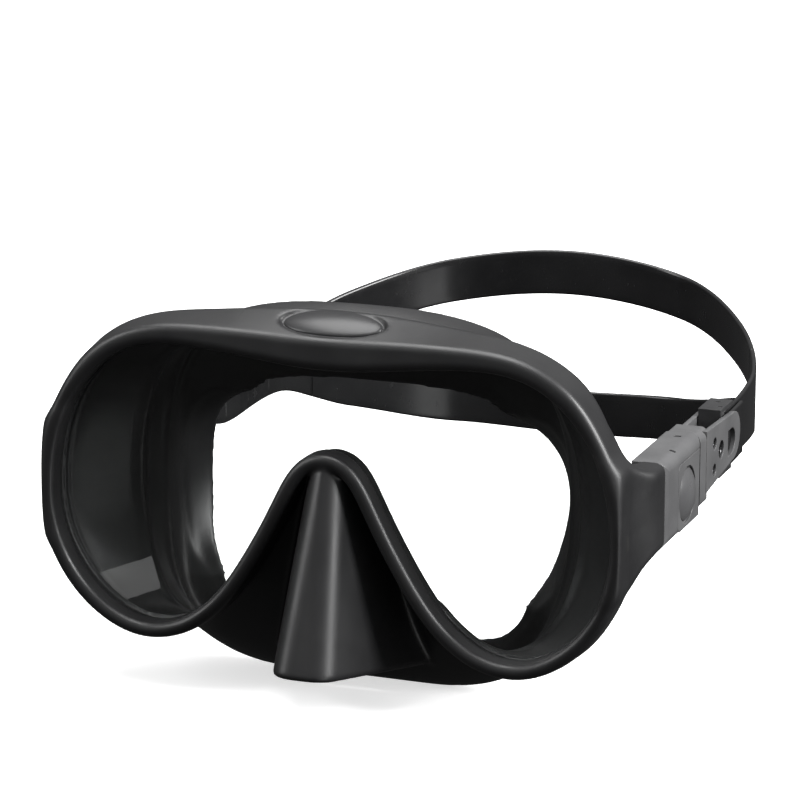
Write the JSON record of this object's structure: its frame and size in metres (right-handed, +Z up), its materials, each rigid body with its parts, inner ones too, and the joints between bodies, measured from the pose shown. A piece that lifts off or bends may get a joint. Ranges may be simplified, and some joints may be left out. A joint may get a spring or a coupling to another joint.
{
  "type": "diving mask",
  "caption": "Single-lens low-volume diving mask with a black silicone skirt and nose pocket, quick-release side buckles and a split rear strap.",
  "frame": {"origin": "on the lens' front glass plane, in the mid plane, midway between the nose notch and the brow", "axes": "-Y is the wearer's line of sight, +X the wearer's left, +Z up"},
  "size_m": [0.1728, 0.2202, 0.109],
  "materials": {
    "silicone": "satin black silicone",
    "strap_silicone": "smooth glossy black silicone",
    "lens_glass": "clear tempered glass",
    "insert_plastic": "hard black plastic",
    "badge_plastic": "satin black plastic",
    "buckle_plastic": "satin dark grey plastic",
    "button_plastic": "satin dark grey plastic",
    "inner_plastic": "black acetal",
    "spring_steel": "bright spring wire",
    "pin_steel": "stainless steel"
  },
  "bodies": {
    "mask": {"skirt": "silicone", "lens": "lens_glass", "lens_frame": "insert_plastic", "brow_badge": "badge_plastic", "cheek_rivets": "pin_steel", "buckle_housing_left": "buckle_plastic", "buckle_housing_right": "buckle_plastic", "button_bezel_left": "buckle_plastic", "button_bezel_right": "buckle_plastic", "button_spring_left": "spring_steel", "button_spring_right": "spring_steel", "strap_clip_left": "buckle_plastic", "strap_clip_right": "buckle_plastic", "cheek_plate_left": "buckle_plastic", "cheek_plate_right": "buckle_plastic", "pivot_pin_left": "pin_steel", "pivot_pin_right": "pin_steel"},
    "strap_assembly": {"strap": "strap_silicone", "strap_carriage_left": "inner_plastic", "strap_carriage_right": "inner_plastic", "roller_axle_left": "pin_steel", "roller_axle_right": "pin_steel", "pawl_pin_left": "pin_steel", "pawl_pin_right": "pin_steel"},
    "button_left": {"release_button_left": "button_plastic"},
    "roller_left": {"strap_roller_left": "inner_plastic"},
    "pawl_left": {"locking_pawl_left": "inner_plastic"},
    "button_right": {"release_button_right": "button_plastic"},
    "roller_right": {"strap_roller_right": "inner_plastic"},
    "pawl_right": {"locking_pawl_right": "inner_plastic"}
  },
  "joints": [
    {"name": "strap_swing", "type": "hinge", "parent": "mask", "child": "strap_assembly", "pos_m": [0, 0.0682, -0.0218], "axis": [1, 0, 0], "range_deg": [-25, 25]},
    {"name": "button_press_left", "type": "slide", "parent": "mask", "child": "button_left", "axis": [-1, 0, 0], "range_m": [0, 0.0015], "stiffness_N_per_m": 200, "deforming": ["button_spring_left"]},
    {"name": "roller_spin_left", "type": "hinge", "parent": "strap_assembly", "child": "roller_left", "pos_m": [0.07985, 0.0812, -0.025], "axis": [0, 0, 1], "continuous": true},
    {"name": "pawl_lift_left", "type": "hinge", "parent": "strap_assembly", "child": "pawl_left", "pos_m": [0.0819, 0.0762, -0.025], "axis": [0, 0, 1], "range_deg": [0, 8]},
    {"name": "button_press_right", "type": "slide", "parent": "mask", "child": "button_right", "axis": [1, 0, 0], "range_m": [0, 0.0015], "stiffness_N_per_m": 200, "deforming": ["button_spring_right"]},
    {"name": "roller_spin_right", "type": "hinge", "parent": "strap_assembly", "child": "roller_right", "pos_m": [-0.07985, 0.0812, -0.025], "axis": [0, 0, 1], "continuous": true},
    {"name": "pawl_lift_right", "type": "hinge", "parent": "strap_assembly", "child": "pawl_right", "pos_m": [-0.0819, 0.0762, -0.025], "axis": [0, 0, -1], "range_deg": [0, 8]}
  ]
}
